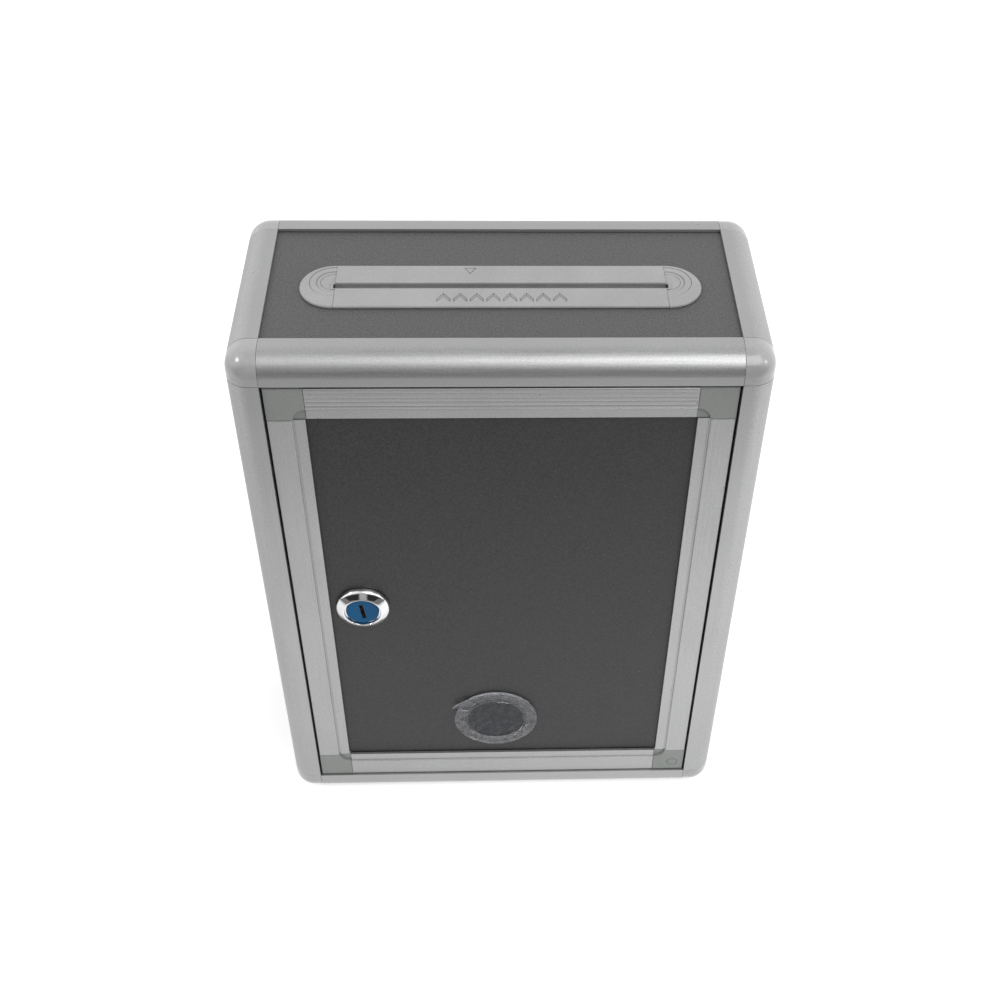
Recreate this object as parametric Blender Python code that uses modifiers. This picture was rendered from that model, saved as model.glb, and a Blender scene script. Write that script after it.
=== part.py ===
"""Lockable donation box: aluminium rails, plastic corners, dark boards and a hinged front door with a cam lock.

Metres, +Z up. The origin is the middle of the base; the door faces -Y, and +X is to the right of someone facing it.
"""

import math

import bmesh
import bpy
from mathutils import Matrix, Vector

MM = 0.001

# Case
WIDTH = 200 * MM
DEPTH = 95 * MM
HEIGHT = 265 * MM
FRAME = 12.5 * MM  # face width of a case rail
ROUND = 9 * MM  # radius of the rails' and corners' outer rounding
GAP = 0.3 * MM  # clearance between pieces that rest on each other

# Boards and the grooves that hold them
BOARD = 3 * MM
RECESS = 1.5 * MM  # from a rail's outer face down to the board
LIP = RECESS - GAP
GROOVE = BOARD + 2 * GAP
BITE = 4 * MM  # how far a board reaches into a groove

# Hollow core of a rail, and the corner tongues that plug into it
CORE_LOW = 3.4 * MM
CORE_HIGH = 6.6 * MM
TONGUE = 6 * MM
CORE_WEB = 9 * MM  # where the sloping inner wall of a rail starts

# Slot trim on the top
SLOT_Y = -2.5 * MM
SLOT_WIDTH = 3.5 * MM
SLOT_HALF = 63.2 * MM
TRIM_WIDTH = 26.1 * MM
TRIM_SEAM = 61.7 * MM  # from the middle to the joint between a bar and an end
TRIM_END_CENTRE = 62.65 * MM
TRIM_THICK = 1 * MM
TRIM_TOP = HEIGHT - RECESS + GAP + TRIM_THICK
LEG = 1.5 * MM
LEG_BOTTOM = HEIGHT - 7 * MM
HOOK = 1.1 * MM
TRIM_RING = Vector((63.1 * MM, 0, TRIM_TOP))  # middle of the stepped rings in the right end
RING_STEPS = ((9.2 * MM, 0.3 * MM), (6 * MM, 0.7 * MM))  # radius and depth of each

# Door
SIDE_GAP = 0.8 * MM
DOOR_BOTTOM = 13.2 * MM
DOOR_TOP = 250.5 * MM
DOOR_FRONT = -DEPTH / 2 + 0.9 * MM
DOOR_THICK = 10 * MM
DOOR_BORDER = 14.1 * MM  # face width of a door profile
DOOR_OUTER_BAND = 9.2 * MM
DOOR_STEP = 1.2 * MM  # the inner band lies this far behind the outer one
DOOR_LIP = 0.7 * MM
DOOR_CORNER = 14.6 * MM
DOOR_CORNER_STEP = 5 * MM  # radius of the quarter-round step at a corner's inner point
DOOR_EDGE_CHAMFER = 0.5 * MM
DOOR_TONGUE = 12 * MM
DOOR_CORE_LOW = (1.6 * MM, 1.6 * MM)  # from a profile's outer edge, and behind its front face
DOOR_CORE_HIGH = (6.6 * MM, 8.4 * MM)
DOOR_BOARD_FRONT = DOOR_STEP + DOOR_LIP + GAP  # behind the door's front face
DOOR_LEFT = -WIDTH / 2 + FRAME + SIDE_GAP
DOOR_RIGHT = -DOOR_LEFT
BOARD_FACE = DOOR_FRONT + DOOR_BOARD_FRONT

# Hinge
HINGE_INSET = 5.9 * MM  # from the door's right edge to the hinge axis
HINGE_DEPTH = 2.6 * MM  # from the door's front face to the hinge axis
HINGE = Vector((DOOR_RIGHT - HINGE_INSET, DOOR_FRONT + HINGE_DEPTH, 0))
PIN_RADIUS = 1.5 * MM
PIN_IN_DOOR = 6 * MM
PIN_IN_RAIL = 3.6 * MM
PIN_FIT = 0.1 * MM
BUSH_RADIUS = 2.5 * MM
BUSH_LENGTH = 3.9 * MM
MARK_RADIUS = 2.6 * MM  # moulding mark on the lower hinge corner
MARK_INSET = 5.3 * MM
MARK_DEPTH = 0.4 * MM

# Window in the door
WINDOW = Vector((-3.3 * MM, BOARD_FACE, 52.7 * MM))
WINDOW_FLANGE = 19 * MM
WINDOW_BODY = 14.2 * MM
WINDOW_BODY_DEPTH = 6 * MM

# Cam lock in the door
LOCK = Vector((-59 * MM, BOARD_FACE, 131.1 * MM))
BEZEL_RADIUS = 11.4 * MM
BARREL_RADIUS = 9 * MM
BARREL_FLAT = 8 * MM  # half the width across the barrel's flats
BARREL_DEPTH = 10 * MM
PLUG_RADIUS = 6.2 * MM
PLUG_FIT = 0.1 * MM
CAP_RADIUS = 7.15 * MM
KEY_SLOT_LENGTH = 8.4 * MM
KEY_SLOT_WIDTH = 1.7 * MM
KEY_SLOT_TILT = math.radians(8.7)
SHANK = 6 * MM  # side of the plug's square rear end
CAM_LENGTH = 32 * MM
CAM_WIDTH = 14 * MM
CAM_TIP_WIDTH = 10 * MM
CAM_THICK = 1.6 * MM

# Keeper plate behind the left post
KEEPER_LOW = Vector((-94.5 * MM, -DEPTH / 2 + FRAME + GAP, LOCK.z - 20 * MM))
KEEPER_SIZE = Vector((12 * MM, 0.9 * MM, 40 * MM))
KEEPER_SCREW_X = -91 * MM
KEEPER_SCREW_OFFSET = 15 * MM
KEEPER_SCREW_RADIUS = 1.2 * MM
KEEPER_SCREW_DEPTH = 5 * MM

ARC_STEPS = 8
TURN_STEPS = 40
SMALL_STEPS = 20
SHARP_ANGLE = math.radians(35)
OUTWARD = (math.pi / 2, 0, 0)  # turns local +Z to face out of the door, along -Y

PARTS = "donation_box"
CUTTERS = "donation_box_cutters"


# Scene, materials and mesh helpers


def clear_scene():
    for obj in list(bpy.data.objects):
        bpy.data.objects.remove(obj, do_unlink=True)
    for name in (PARTS, CUTTERS):
        bpy.context.scene.collection.children.link(bpy.data.collections.new(name))


def make_material(name, colour, roughness, metallic=0.0, transmission=0.0):
    material = bpy.data.materials.new(name)
    material.use_nodes = True
    shader = material.node_tree.nodes["Principled BSDF"]
    shader.inputs["Base Color"].default_value = (*colour, 1)
    shader.inputs["Roughness"].default_value = roughness
    shader.inputs["Metallic"].default_value = metallic
    shader.inputs["Transmission Weight"].default_value = transmission
    material.diffuse_color = (*colour, 1)
    return material


def make_materials():
    return {
        "aluminium": make_material("anodised_aluminium", (0.56, 0.56, 0.57), 0.42, 1.0),
        "corner": make_material("silver_grey_plastic", (0.42, 0.42, 0.43), 0.35),
        "connector": make_material("mid_grey_plastic", (0.17, 0.175, 0.17), 0.55),
        "board": make_material("charcoal_board", (0.06, 0.06, 0.063), 0.6),
        "trim": make_material("pale_grey_plastic", (0.45, 0.45, 0.46), 0.45),
        "clear": make_material("clear_plastic", (0.9, 0.9, 0.92), 0.12, 0.0, 0.9),
        "chrome": make_material("chrome", (0.8, 0.8, 0.8), 0.08, 1.0),
        "blue": make_material("blue_plastic", (0.012, 0.13, 0.38), 0.4),
        "steel": make_material("zinc_plated_steel", (0.5, 0.5, 0.48), 0.35, 1.0),
        "brass": make_material("brass", (0.6, 0.45, 0.2), 0.35, 1.0),
        "nylon": make_material("white_nylon", (0.75, 0.75, 0.72), 0.5),
    }


def add_object(name, mesh, material):
    obj = bpy.data.objects.new(name, mesh)
    bpy.data.collections[PARTS].objects.link(obj)
    if material:
        mesh.materials.clear()
        mesh.materials.append(material)
    return obj


def as_cutter(obj):
    """Makes an object a helper for a Boolean, kept out of the render."""
    bpy.data.collections[PARTS].objects.unlink(obj)
    bpy.data.collections[CUTTERS].objects.link(obj)
    obj.hide_render = True
    obj.display_type = "WIRE"
    return obj


def combine(target, other, operation):
    modifier = target.modifiers.new(f"{operation.lower()}_{other.name}", "BOOLEAN")
    modifier.operation = operation
    modifier.solver = "EXACT"
    modifier.object = as_cutter(other)


def cut(target, cutter):
    combine(target, cutter, "DIFFERENCE")


def join(target, addition):
    combine(target, addition, "UNION")


def smooth(mesh):
    mesh.shade_smooth()
    mesh.set_sharp_from_angle(angle=SHARP_ANGLE)


def evaluated_mesh(obj):
    graph = bpy.context.evaluated_depsgraph_get()
    return bpy.data.meshes.new_from_object(obj.evaluated_get(graph))


def arc(centre, radius, start, end, steps):
    """Points on an arc, with its angles in degrees."""
    angles = [math.radians(start + (end - start) * i / steps) for i in range(steps + 1)]
    return [(centre[0] + radius * math.cos(a), centre[1] + radius * math.sin(a)) for a in angles]


def circle(radius, steps=TURN_STEPS):
    return arc((0, 0), radius, 0, 360, steps)[:-1]


def rectangle(low, high):
    return [(low[0], low[1]), (high[0], low[1]), (high[0], high[1]), (low[0], high[1])]


def extruded(name, loops, thickness, material):
    """A flat outline, with any holes after it, made solid along local Z about its middle."""
    curve = bpy.data.curves.new(name, "CURVE")
    curve.dimensions = "2D"
    curve.fill_mode = "BOTH"
    curve.extrude = thickness / 2
    for loop in loops:
        spline = curve.splines.new("POLY")
        spline.points.add(len(loop) - 1)
        spline.use_cyclic_u = True
        for point, (x, y) in zip(spline.points, loop):
            point.co = (x, y, 0, 1)
    outline = bpy.data.objects.new(name, curve)
    bpy.data.collections[PARTS].objects.link(outline)
    mesh = evaluated_mesh(outline)
    bpy.data.objects.remove(outline, do_unlink=True)
    bm = bmesh.new()
    bm.from_mesh(mesh)
    bmesh.ops.remove_doubles(bm, verts=bm.verts, dist=1e-6)
    bmesh.ops.recalc_face_normals(bm, faces=bm.faces)
    bm.to_mesh(mesh)
    bm.free()
    smooth(mesh)
    return add_object(name, mesh, material)


def box(name, low, high, material=None):
    low, high = Vector(low), Vector(high)
    bm = bmesh.new()
    bmesh.ops.create_cube(bm, size=1)
    bmesh.ops.scale(bm, vec=high - low, verts=bm.verts)
    bmesh.ops.translate(bm, vec=(low + high) / 2, verts=bm.verts)
    mesh = bpy.data.meshes.new(name)
    bm.to_mesh(mesh)
    bm.free()
    return add_object(name, mesh, material)


def cylinder(name, radius, low, high, material=None, steps=SMALL_STEPS):
    """A cylinder along local Z, from low to high."""
    bm = bmesh.new()
    bmesh.ops.create_cone(
        bm, cap_ends=True, segments=steps, radius1=radius, radius2=radius, depth=high - low
    )
    bmesh.ops.translate(bm, vec=(0, 0, (low + high) / 2), verts=bm.verts)
    mesh = bpy.data.meshes.new(name)
    bm.to_mesh(mesh)
    bm.free()
    smooth(mesh)
    return add_object(name, mesh, material)


def turned(name, profile, material=None, steps=TURN_STEPS, ring=False):
    """A profile of (radius, height) points turned round local Z. A ring's profile is closed."""
    count = len(profile)
    edges = [(i, i + 1) for i in range(count - 1)]
    if ring:
        edges.append((count - 1, 0))
    mesh = bpy.data.meshes.new(name)
    mesh.from_pydata([(radius, 0, height) for radius, height in profile], edges, [])
    obj = add_object(name, mesh, material)
    screw = obj.modifiers.new("turn", "SCREW")
    screw.axis = "Z"
    screw.angle = 2 * math.pi
    screw.steps = steps
    screw.render_steps = steps
    screw.use_merge_vertices = True
    screw.merge_threshold = 1e-6
    screw.use_smooth_shade = True
    return obj


def place(obj, location, rotation=(0, 0, 0)):
    obj.location = location
    obj.rotation_euler = rotation
    return obj


def place_along(obj, origin, first, second):
    """Puts local X along first and local Y along second, with the origin at a point."""
    first, second = Vector(first), Vector(second)
    basis = Matrix((first, second, first.cross(second))).transposed().to_4x4()
    obj.matrix_world = Matrix.Translation(origin) @ basis
    return obj


def pivot(name, location):
    empty = bpy.data.objects.new(name, None)
    empty.location = location
    empty.empty_display_size = 10 * MM
    bpy.data.collections[PARTS].objects.link(empty)
    return empty


def attach(obj, parent, parent_location):
    obj.parent = parent
    obj.matrix_parent_inverse = Matrix.Translation(parent_location).inverted()


# Case frame


def rail_outline(door_side):
    """Section of a rail. X and Y run inwards from its two outer faces.

    A board behind the first face enters from the far Y side. A second groove, for a board behind the
    second face, is left out on the door's side, where the rail is square.
    """
    outline = [(FRAME, 0), *arc((ROUND, ROUND), ROUND, 270, 180, ARC_STEPS), (0, FRAME)]
    outline += rectangle_notch(False)
    if door_side:
        outline += [(FRAME, FRAME)]
    else:
        inner = LIP + GROOVE + LIP
        outline += [(inner, FRAME), (inner, CORE_WEB), (CORE_WEB, inner), (FRAME, inner)]
        outline += rectangle_notch(True)
    return outline


def rectangle_notch(swapped):
    """The groove of one board, as four points of a rail's section."""
    floor = FRAME - BITE - GAP
    points = [(LIP, FRAME), (LIP, floor), (LIP + GROOVE, floor), (LIP + GROOVE, FRAME)]
    return [(y, x) for x, y in reversed(points)] if swapped else points


def add_rail(name, origin, first, second, length, material, door_side=False):
    core = rectangle((CORE_LOW, CORE_LOW), (CORE_HIGH, CORE_HIGH))
    rail = extruded(name, [rail_outline(door_side), core], length - 2 * FRAME - 2 * GAP, material)
    return place_along(rail, origin, first, second)


def add_rails(material):
    for z_name, z, up in (("bottom", 0, 1), ("top", HEIGHT, -1)):
        add_rail(
            f"rail_front_{z_name}", (0, -DEPTH / 2, z), (0, 0, up), (0, 1, 0), WIDTH, material, True
        )
        add_rail(f"rail_rear_{z_name}", (0, DEPTH / 2, z), (0, 0, up), (0, -1, 0), WIDTH, material)
        for x_name, side in (("left", -1), ("right", 1)):
            origin = (side * WIDTH / 2, 0, z)
            add_rail(
                f"rail_{x_name}_{z_name}", origin, (-side, 0, 0), (0, 0, up), DEPTH, material
            )
    for x_name, side in (("left", -1), ("right", 1)):
        for y_name, y, inward in (("front", -DEPTH / 2, 1), ("rear", DEPTH / 2, -1)):
            add_rail(
                f"post_{y_name}_{x_name}",
                (side * WIDTH / 2, y, HEIGHT / 2),
                (-side, 0, 0),
                (0, inward, 0),
                HEIGHT,
                material,
                y_name == "front",
            )


def corner_pattern():
    """A three-way corner with its outer point at the origin and its body towards +X +Y +Z."""
    bm = bmesh.new()
    bmesh.ops.create_cube(bm, size=FRAME)
    bmesh.ops.translate(bm, vec=(FRAME / 2,) * 3, verts=bm.verts)
    outer = min(bm.verts, key=lambda vert: vert.co.length)
    bmesh.ops.bevel(
        bm,
        geom=list(outer.link_edges),
        offset=ROUND,
        segments=ARC_STEPS,
        profile=0.5,
        affect="EDGES",
        clamp_overlap=False,
    )
    mesh = bpy.data.meshes.new("corner_pattern")
    bm.to_mesh(mesh)
    bm.free()
    pattern = add_object("corner_pattern", mesh, None)
    for axis in range(3):
        low = [CORE_LOW + GAP] * 3
        high = [CORE_HIGH - GAP] * 3
        low[axis] = ROUND
        high[axis] = FRAME + TONGUE
        join(pattern, box(f"corner_tongue_{'xyz'[axis]}", low, high))
    return as_cutter(pattern)


def add_corners(material):
    pattern = corner_pattern()
    for z_name, z, up in (("bottom", 0, 1), ("top", HEIGHT, -1)):
        for y_name, y, inward in (("front", -DEPTH / 2, 1), ("rear", DEPTH / 2, -1)):
            for x_name, side in (("left", -1), ("right", 1)):
                mesh = evaluated_mesh(pattern)
                mesh.transform(Matrix.Diagonal((-side, inward, up, 1)))
                if side * inward * up > 0:
                    mesh.flip_normals()
                smooth(mesh)
                name = f"corner_{y_name}_{x_name}_{z_name}"
                place(add_object(name, mesh, material), (side * WIDTH / 2, y, z))


def notched(half_x, half_y, notch):
    """A rectangle's outline with a square notch out of each corner."""
    outline = []
    for sx, sy in ((1, 1), (-1, 1), (-1, -1), (1, -1)):
        along = (sx * (half_x - notch), sy * half_y)
        inner = (sx * (half_x - notch), sy * (half_y - notch))
        across = (sx * half_x, sy * (half_y - notch))
        outline += [across, inner, along] if sx * sy > 0 else [along, inner, across]
    return outline


def board_outline(size_x, size_y):
    reach = FRAME - BITE
    return notched(size_x / 2 - reach, size_y / 2 - reach, BITE + GAP)


def slot_opening():
    half_y = SLOT_WIDTH / 2 + LEG + GAP
    half_x = SLOT_HALF + LEG + GAP
    return rectangle((-half_x, SLOT_Y - half_y), (half_x, SLOT_Y + half_y))


def add_boards(material):
    inset = RECESS + BOARD / 2
    top = extruded("top_panel", [board_outline(WIDTH, DEPTH), slot_opening()], BOARD, material)
    place(top, (0, 0, HEIGHT - inset))
    bottom = extruded("bottom_panel", [board_outline(WIDTH, DEPTH)], BOARD, material)
    place(bottom, (0, 0, inset))
    back = extruded("back_panel", [board_outline(WIDTH, HEIGHT)], BOARD, material)
    place(back, (0, DEPTH / 2 - inset, HEIGHT / 2), OUTWARD)
    for x_name, side in (("left", -1), ("right", 1)):
        panel = extruded(f"{x_name}_panel", [board_outline(DEPTH, HEIGHT)], BOARD, material)
        origin = (side * (WIDTH / 2 - inset), 0, HEIGHT / 2)
        place_along(panel, origin, (0, 1, 0), (0, 0, 1))


# Slot trim


def bar_section():
    """Section of a trim bar. X runs away from the slot's middle and Y runs up from the trim's top."""
    inner = SLOT_WIDTH / 2
    outer = TRIM_WIDTH / 2
    rounding = TRIM_THICK * 0.6
    hook_top = HEIGHT - RECESS - BOARD - GAP
    return [
        (inner, 0),
        (inner, LEG_BOTTOM - TRIM_TOP),
        (inner + LEG, LEG_BOTTOM - TRIM_TOP),
        (inner + LEG + HOOK, hook_top - TRIM_TOP - 0.6 * MM),
        (inner + LEG + HOOK, hook_top - TRIM_TOP),
        (inner + LEG, hook_top - TRIM_TOP),
        (inner + LEG, -TRIM_THICK),
        (outer, -TRIM_THICK),
        *arc((outer - rounding, -rounding), rounding, 0, 90, 3),
    ]


def add_slot_bars(material):
    """The bars' legs run on a little way under the trim's ends."""
    leg_end = SLOT_HALF - GAP
    seam = TRIM_SEAM - GAP / 2
    for name, side in (("slot_bar_front", -1), ("slot_bar_rear", 1)):
        bar = extruded(name, [bar_section()], 2 * leg_end, material)
        place_along(bar, (0, SLOT_Y, TRIM_TOP), (0, side, 0), (0, 0, 1))
        for x_name, x_side in (("left", -1), ("right", 1)):
            near, far = sorted((x_side * seam, x_side * 2 * seam))
            space = box(
                f"{name}_end_space_{x_name}",
                (near, SLOT_Y - TRIM_WIDTH, TRIM_TOP - TRIM_THICK - GAP),
                (far, SLOT_Y + TRIM_WIDTH, TRIM_TOP + TRIM_THICK),
            )
            cut(bar, space)


def add_slot_ends(material):
    outer = TRIM_WIDTH / 2
    rounding = TRIM_THICK * 0.6
    edge = arc((outer - rounding, -rounding), rounding, 90, 0, 3)
    profile = [(0, 0), *edge, (outer, -TRIM_THICK), (0, -TRIM_THICK)]
    far = 2 * TRIM_WIDTH
    for x_name, side in (("left", -1), ("right", 1)):
        end = turned(f"slot_end_{x_name}", profile, material)
        place(end, (side * TRIM_END_CENTRE, SLOT_Y, TRIM_TOP))
        seam = TRIM_SEAM + GAP / 2
        inner_half = box(
            f"trim_half_{x_name}",
            (min(0, side * seam), SLOT_Y - far, TRIM_TOP - far),
            (max(0, side * seam), SLOT_Y + far, TRIM_TOP + far),
        )
        cut(end, inner_half)
        leg = box(
            f"trim_leg_{x_name}",
            (SLOT_HALF, -SLOT_WIDTH / 2, LEG_BOTTOM),
            (SLOT_HALF + LEG, SLOT_WIDTH / 2, TRIM_TOP - TRIM_THICK / 2),
        )
        place_along(leg, (0, SLOT_Y, 0), (side, 0, 0), (0, side, 0))
        join(end, leg)
        mouth = box(
            f"trim_mouth_{x_name}",
            (TRIM_SEAM - LEG, -SLOT_WIDTH / 2, LEG_BOTTOM - LEG),
            (SLOT_HALF, SLOT_WIDTH / 2, TRIM_TOP + LEG),
        )
        place_along(mouth, (0, SLOT_Y, 0), (side, 0, 0), (0, side, 0))
        cut(end, mouth)
        for step, (radius, depth) in enumerate(RING_STEPS):
            ring = cylinder(f"trim_ring_{x_name}_{step}", radius, -depth, depth, steps=TURN_STEPS)
            place(ring, (side * TRIM_RING.x, TRIM_RING.y, TRIM_RING.z))
            cut(end, ring)


# Door


def door_section():
    """Section of a door profile. X runs inwards from the door's edge and Y back from its front face."""
    pocket_front = DOOR_STEP + DOOR_LIP
    pocket_back = pocket_front + GROOVE
    pocket_end = DOOR_BORDER - BITE - GAP / 2
    tube = 8 * MM
    wall = 1.2 * MM
    return [
        (0, DOOR_EDGE_CHAMFER),
        (DOOR_EDGE_CHAMFER, 0),
        (DOOR_OUTER_BAND, 0),
        (DOOR_OUTER_BAND + 0.2 * MM, DOOR_STEP),
        (DOOR_BORDER, DOOR_STEP),
        (DOOR_BORDER, pocket_front),
        (pocket_end, pocket_front),
        (pocket_end, pocket_back),
        (DOOR_BORDER - wall, pocket_back),
        (DOOR_BORDER - wall, pocket_back + wall),
        (tube, pocket_back + wall),
        (tube, DOOR_THICK),
        (0, DOOR_THICK),
    ]


def add_door_profiles(material):
    width = DOOR_RIGHT - DOOR_LEFT
    height = DOOR_TOP - DOOR_BOTTOM
    middle = (DOOR_TOP + DOOR_BOTTOM) / 2
    loops = [door_section(), rectangle(DOOR_CORE_LOW, DOOR_CORE_HIGH)]
    shorter = 2 * (DOOR_CORNER + GAP)
    pieces = []
    for name, z, up in (("door_rail_bottom", DOOR_BOTTOM, 1), ("door_rail_top", DOOR_TOP, -1)):
        rail = extruded(name, loops, width - shorter, material)
        pieces.append(place_along(rail, (0, DOOR_FRONT, z), (0, 0, up), (0, 1, 0)))
    for name, x, side in (("door_stile_left", DOOR_LEFT, 1), ("door_stile_right", DOOR_RIGHT, -1)):
        stile = extruded(name, loops, height - shorter, material)
        pieces.append(place_along(stile, (x, DOOR_FRONT, middle), (side, 0, 0), (0, 1, 0)))
    return pieces


def add_door_corners(material):
    """Corner blocks of the door, each with a quarter-round step at its inner point and two tongues."""
    pieces = {}
    for z_name, z, up in (("bottom", DOOR_BOTTOM, 1), ("top", DOOR_TOP, -1)):
        for x_name, x, side in (("left", DOOR_LEFT, 1), ("right", DOOR_RIGHT, -1)):
            name = f"door_corner_{x_name}_{z_name}"
            low, high = (0, 0, 0), (DOOR_CORNER, DOOR_THICK, DOOR_CORNER)
            block = face_inwards(box(name, low, high, material), x, z, side, up)
            step = cylinder(
                f"{name}_step", DOOR_CORNER_STEP, -DOOR_STEP, DOOR_STEP, steps=4 * ARC_STEPS
            )
            place(step, (x + side * DOOR_CORNER, DOOR_FRONT, z + up * DOOR_CORNER), OUTWARD)
            cut(block, step)
            for tongue in door_tongues(name):
                join(block, face_inwards(tongue, x, z, side, up))
            pieces[f"{x_name}_{z_name}"] = block
    return pieces


def door_tongues(name):
    """The two tongues of a door corner: across into a rail, and along into a stile."""
    (edge_low, back_low), (edge_high, back_high) = DOOR_CORE_LOW, DOOR_CORE_HIGH
    start, end = DOOR_CORNER - 2 * MM, DOOR_CORNER + DOOR_TONGUE
    across = box(
        f"{name}_tongue_across",
        (start, back_low + GAP, edge_low + GAP),
        (end, back_high - GAP, edge_high - GAP),
    )
    along = box(
        f"{name}_tongue_along",
        (edge_low + GAP, back_low + GAP, start),
        (edge_high - GAP, back_high - GAP, end),
    )
    return across, along


def face_inwards(obj, x, z, side, up):
    """Mirrors a piece of the door drawn at local zero so that it runs inwards from its corner, and places it."""
    obj.data.transform(Matrix.Diagonal((side, 1, up, 1)))
    if side * up < 0:
        obj.data.flip_normals()
    return place(obj, (x, DOOR_FRONT, z))


def lock_hole_outline(clearance):
    """The barrel's section: a circle with two flats, at its left and right."""
    radius = BARREL_RADIUS + clearance
    flat = BARREL_FLAT + clearance
    turn = math.degrees(math.acos(flat / radius))
    upper = arc((0, 0), radius, turn, 180 - turn, 2 * ARC_STEPS)
    lower = arc((0, 0), radius, 180 + turn, 360 - turn, 2 * ARC_STEPS)
    return upper + lower


def add_door_board(material):
    reach = DOOR_BORDER - BITE + GAP / 2
    half_x = (DOOR_RIGHT - DOOR_LEFT) / 2 - reach
    half_z = (DOOR_TOP - DOOR_BOTTOM) / 2 - reach
    middle = (DOOR_TOP + DOOR_BOTTOM) / 2
    outline = notched(half_x, half_z, DOOR_CORNER + GAP - reach)
    lock_hole = [(LOCK.x + x, LOCK.z - middle + y) for x, y in lock_hole_outline(GAP)]
    window_hole = [
        (WINDOW.x + x, WINDOW.z - middle + y) for x, y in circle(WINDOW_BODY + GAP)
    ]
    panel = extruded("door_panel", [outline, lock_hole, window_hole], BOARD, material)
    return place(panel, (0, BOARD_FACE + BOARD / 2, middle), OUTWARD)


# Hinge


def add_hinge(materials, corners):
    """Steel pins fixed in the door's right corners, turning in nylon bushes in the front rails."""
    moving = []
    for z_name, edge, face, up in (
        ("top", DOOR_TOP, HEIGHT - FRAME, 1),
        ("bottom", DOOR_BOTTOM, FRAME, -1),
    ):
        low, high = sorted((edge - up * PIN_IN_DOOR, face + up * PIN_IN_RAIL))
        pin = cylinder(f"hinge_pin_{z_name}", PIN_RADIUS, low, high, materials["steel"])
        moving.append(place(pin, HINGE))
        low, high = sorted((edge - up * (PIN_IN_DOOR + GAP), edge + up * PIN_IN_DOOR))
        pin_hole = cylinder(f"pin_hole_{z_name}", PIN_RADIUS + PIN_FIT, low, high)
        cut(corners[f"right_{z_name}"], place(pin_hole, HINGE))
        low, high = sorted((face, face + up * BUSH_LENGTH))
        loops = [circle(BUSH_RADIUS, SMALL_STEPS), circle(PIN_RADIUS + PIN_FIT, SMALL_STEPS)]
        bush = extruded(f"hinge_bush_{z_name}", loops, high - low, materials["nylon"])
        place(bush, (HINGE.x, HINGE.y, (low + high) / 2))
        low, high = sorted((face - up * FRAME, face + up * (BUSH_LENGTH + GAP)))
        bush_hole = cylinder(f"bush_hole_{z_name}", BUSH_RADIUS + PIN_FIT, low, high)
        cut(bpy.data.objects[f"rail_front_{z_name}"], place(bush_hole, HINGE))
    return moving


def add_moulding_mark(corner):
    mark = cylinder("moulding_mark", MARK_RADIUS, -MARK_DEPTH, MARK_DEPTH, steps=TURN_STEPS)
    place(mark, (DOOR_RIGHT - MARK_INSET, DOOR_FRONT, DOOR_BOTTOM + MARK_INSET), OUTWARD)
    cut(corner, mark)


# Window


def add_window(material):
    """A clear lens with a wide flange in front of the board, and a ring that holds it behind."""
    disc = 12.7 * MM
    rim = WINDOW_FLANGE - 1 * MM
    lens_profile = [
        (0, 0.7 * MM),
        (disc, 0.7 * MM),
        (disc + 0.6 * MM, 1.9 * MM),
        (disc + 1.5 * MM, 1.9 * MM),
        (disc + 2 * MM, 1.3 * MM),
        (rim - 0.5 * MM, 1.3 * MM),
        (rim, 1.9 * MM),
        (rim + 0.6 * MM, 1.9 * MM),
        (WINDOW_FLANGE, 1.4 * MM),
        (WINDOW_FLANGE, GAP),
        (WINDOW_BODY, GAP),
        (WINDOW_BODY, -WINDOW_BODY_DEPTH),
        (disc, -WINDOW_BODY_DEPTH),
        (disc, -0.8 * MM),
        (0, -0.8 * MM),
    ]
    lens = place(turned("window_lens", lens_profile, material), WINDOW, OUTWARD)
    loops = [circle(WINDOW_BODY + 4 * MM), circle(WINDOW_BODY + GAP)]
    ring = extruded("window_ring", loops, 2.2 * MM, material)
    place(ring, WINDOW + Vector((0, BOARD + GAP + 1.1 * MM, 0)), OUTWARD)
    return [lens, ring]


# Lock


def add_lock_housing(material):
    """Domed bezel and threaded barrel in one piece, bored for the plug."""
    bore = PLUG_RADIUS + PLUG_FIT
    recess = CAP_RADIUS + 0.35 * MM
    floor = 2.6 * MM
    profile = [
        (recess, 3.9 * MM),
        (recess + 0.5 * MM, 4 * MM),
        (8.8 * MM, 3.7 * MM),
        (9.9 * MM, 2.9 * MM),
        (10.8 * MM, 1.8 * MM),
        (BEZEL_RADIUS, 0.8 * MM),
        (BEZEL_RADIUS, GAP),
        (BARREL_RADIUS, GAP),
        (BARREL_RADIUS, -BARREL_DEPTH),
        (bore, -BARREL_DEPTH),
        (bore, floor),
        (recess, floor),
    ]
    housing = place(turned("lock_housing", profile, material, ring=True), LOCK, OUTWARD)
    for x_name, side in (("left", -1), ("right", 1)):
        low, high = sorted((side * BARREL_FLAT, side * 2 * BARREL_RADIUS))
        flat = box(
            f"barrel_flat_{x_name}",
            (low, -2 * BARREL_RADIUS, -2 * BARREL_DEPTH),
            (high, 2 * BARREL_RADIUS, 0),
        )
        cut(housing, place(flat, LOCK, OUTWARD))
    return housing


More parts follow.
